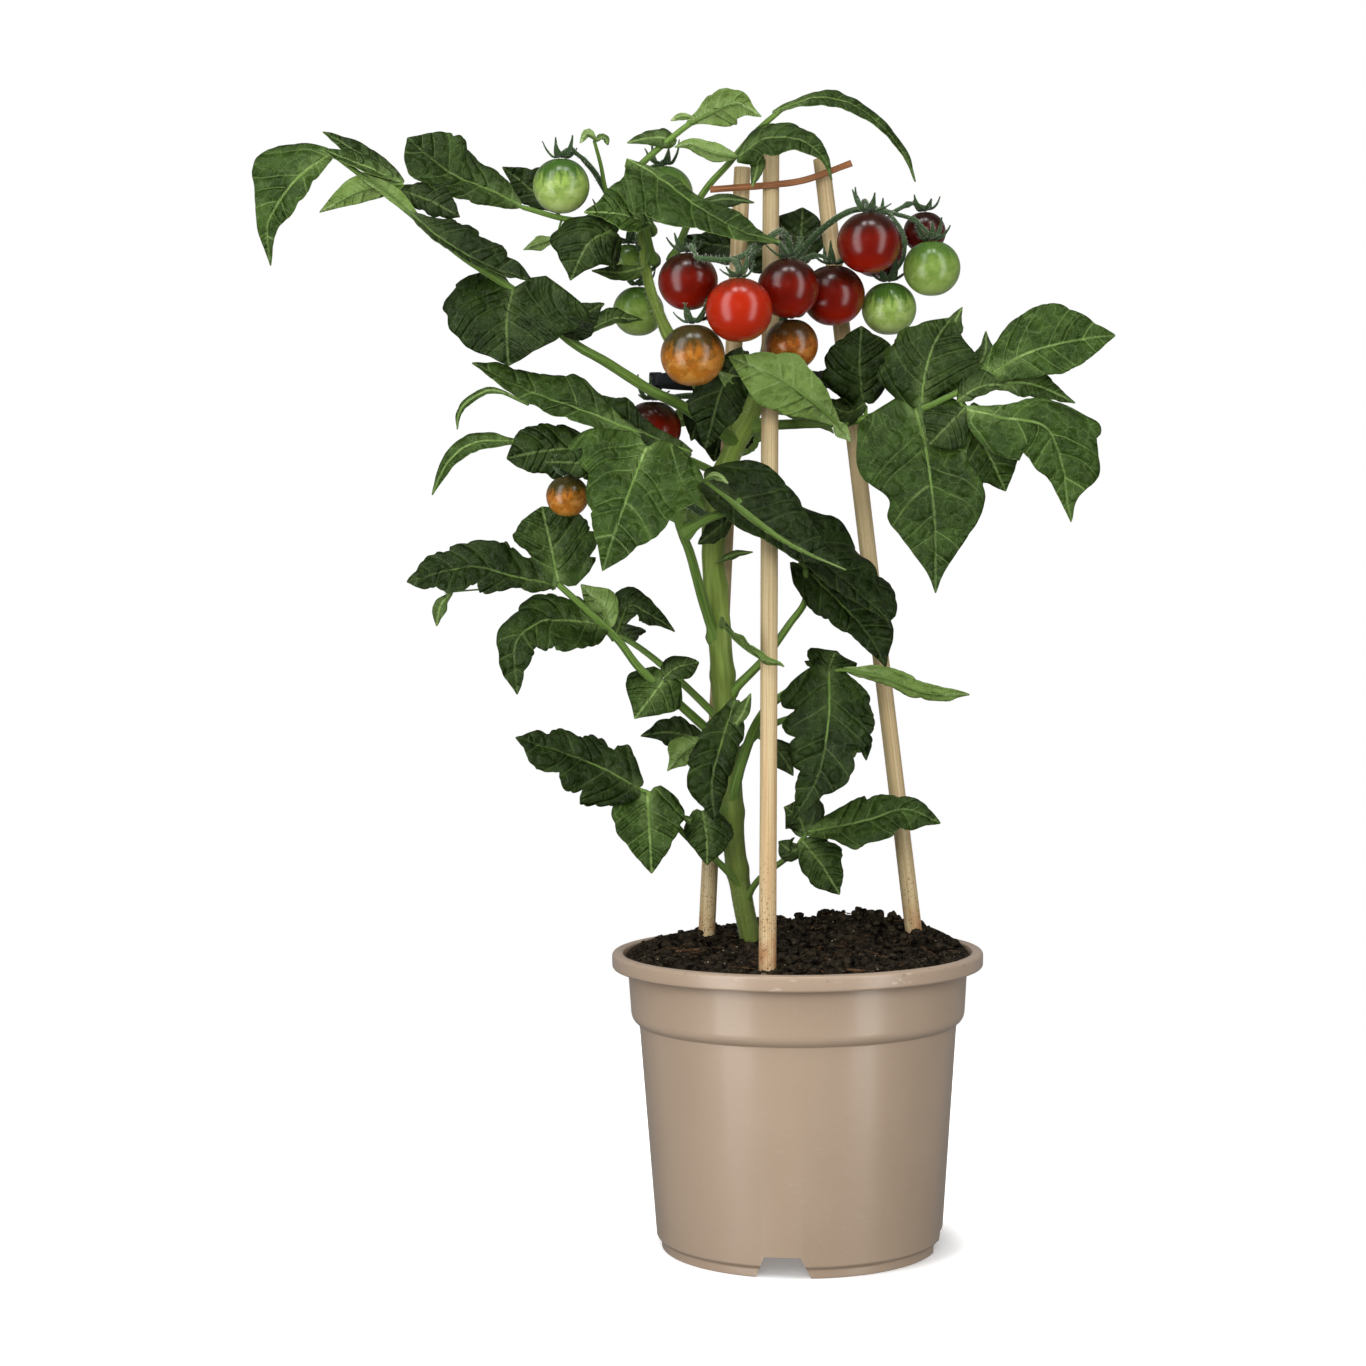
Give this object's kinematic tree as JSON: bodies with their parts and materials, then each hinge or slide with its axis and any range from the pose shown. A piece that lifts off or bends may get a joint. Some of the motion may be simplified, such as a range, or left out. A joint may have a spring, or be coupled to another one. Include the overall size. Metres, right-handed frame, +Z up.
{
  "type": "potted tomato plant",
  "caption": "Potted cherry tomato plant with ripe and unripe fruit, tied to upright canes in a round nursery pot.",
  "frame": {"origin": "middle of the whole plant's footprint, on the surface that the pot stands on", "axes": "+Z up, along the stem; -Y towards the front of the plant, the side the picture shows; +X to the right in that view"},
  "size_m": [0.4206, 0.2436, 0.5927],
  "materials": {
    "pot": "semi-gloss greige moulded plastic, lightly scuffed at the rim",
    "cane": "dry pale straw-coloured cane with reddish edges and specks of dirt",
    "main_stem": "green living stem with fine white hairs",
    "soil": "dark, moist, crumbly potting mix with fibres and pale grains",
    "reed_tie": "dry brown reed",
    "support_hoop": "black plastic strap",
    "fruit_green": "glossy, firm unripe skin, pale green with darker stripes",
    "fruit_red": "glossy, firm ripe skin, deep red with darker shoulders",
    "fruit_amber": "glossy, firm ripening skin, orange with green-brown shoulders",
    "truss_stalks": "green hairy stalks and star-shaped calyxes",
    "leaf": "soft matt green leaf, paler underneath, with sunken net veins"
  },
  "bodies": {
    "root": {"pot": "pot", "cane_front": "cane", "cane_left": "cane", "cane_right": "cane", "main_stem": "main_stem", "soil": "soil", "reed_tie": "reed_tie", "support_hoop": "support_hoop", "tomato_01": "fruit_green", "tomato_02": "fruit_green", "tomato_03": "fruit_green", "tomato_04": "fruit_green", "tomato_05": "fruit_green", "tomato_06": "fruit_red", "tomato_07": "fruit_red", "tomato_08": "fruit_red", "tomato_09": "fruit_red", "tomato_10": "fruit_red", "tomato_11": "fruit_red", "tomato_12": "fruit_red", "tomato_13": "fruit_green", "tomato_14": "fruit_green", "tomato_15": "fruit_amber", "tomato_16": "fruit_amber", "tomato_17": "fruit_red", "tomato_18": "fruit_amber", "truss_right": "truss_stalks", "truss_centre": "truss_stalks", "truss_left": "truss_stalks", "truss_low": "truss_stalks", "truss_lowest": "truss_stalks", "leaf_upper_left": "leaf", "leaf_top_left": "leaf", "leaf_crown_mid": "leaf", "leaf_crown_pale": "leaf", "leaf_crown_tall": "leaf", "sprout": "leaf", "leaf_right": "leaf", "leaf_front": "leaf", "leaf_right_low": "leaf", "leaf_left_mid": "leaf", "leaf_left_low": "leaf", "leaf_left_bottom": "leaf", "leaf_stem_small": "leaf", "leaf_stem_front": "leaf", "leaf_stem_back": "leaf", "side_shoot": "leaf", "leaf_curl": "leaf", "leaf_bottom_right": "leaf", "leaf_shade": "leaf", "leaf_crown_back": "leaf", "leaf_back_high": "leaf", "leaf_back_mid": "leaf", "leaf_back_right": "leaf", "leaf_back_left": "leaf"}
  },
  "joints": []
}
